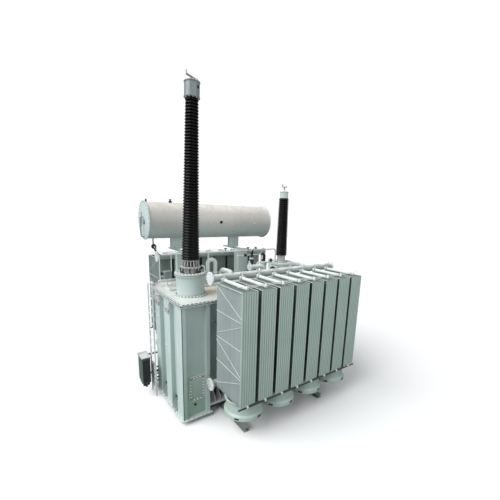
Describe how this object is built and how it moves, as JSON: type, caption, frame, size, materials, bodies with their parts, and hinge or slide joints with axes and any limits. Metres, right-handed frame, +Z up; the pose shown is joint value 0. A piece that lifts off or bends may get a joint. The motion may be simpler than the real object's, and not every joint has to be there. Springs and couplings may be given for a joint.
{
  "type": "oil-filled power transformer with radiator banks",
  "caption": "Large oil-filled power transformer with a tall and a shorter bushing, an oil conservator, and fan-cooled radiator banks along the front and rear of its tank.",
  "frame": {"origin": "on the ground at the middle of the plant's whole footprint", "axes": "+X along the tank towards the shorter bushing, +Y from the front radiator bank to the rear one, +Z up"},
  "size_m": [6.59, 6.598, 9.8747],
  "materials": {
    "tank_paint": "pale grey-green paint, satin",
    "radiator_paint": "grey-green paint, satin",
    "pipe_paint": "pale paint, satin",
    "conservator_paint": "warm grey paint, satin",
    "shed_glaze": "dark brown glazed porcelain, glossy",
    "bare_metal": "cast aluminium, dull",
    "dark_steel": "dark grey paint, worn",
    "cabinet_paint": "dark green paint, satin"
  },
  "bodies": {
    "root": {"bottom_bars": "dark_steel", "conservator_end_left": "tank_paint", "conservator_end_right": "tank_paint", "conservator_shell": "conservator_paint", "conservator_support_left": "tank_paint", "conservator_support_right": "tank_paint", "control_cabinet": "cabinet_paint", "front_fan_housings": "tank_paint", "front_fan_rotors": "dark_steel", "front_headers": "pipe_paint", "front_radiators_1": "radiator_paint", "front_radiators_2": "radiator_paint", "front_radiators_3": "radiator_paint", "front_radiators_4": "radiator_paint", "gas_pipe": "pipe_paint", "hand_hole_cover": "tank_paint", "ladder": "pipe_paint", "level_pipe": "pipe_paint", "lifting_lugs": "tank_paint", "neutral_bushing": "shed_glaze", "neutral_turret": "tank_paint", "rear_fan_housings": "tank_paint", "rear_fan_rotors": "dark_steel", "rear_headers": "pipe_paint", "rear_radiators_1": "radiator_paint", "rear_radiators_2": "radiator_paint", "rear_radiators_3": "radiator_paint", "rear_radiators_4": "radiator_paint", "short_bushing_base": "bare_metal", "short_head": "tank_paint", "short_insulator": "shed_glaze", "short_terminal": "bare_metal", "short_turret": "tank_paint", "skid_rails": "dark_steel", "tall_bushing_base": "bare_metal", "tall_head": "tank_paint", "tall_insulator": "shed_glaze", "tall_terminal": "bare_metal", "tall_turret": "tank_paint", "tank_body": "tank_paint", "tank_cover": "tank_paint", "tank_stiffeners": "tank_paint", "tank_tray": "tank_paint", "vent_pipe": "pipe_paint"}
  },
  "joints": []
}
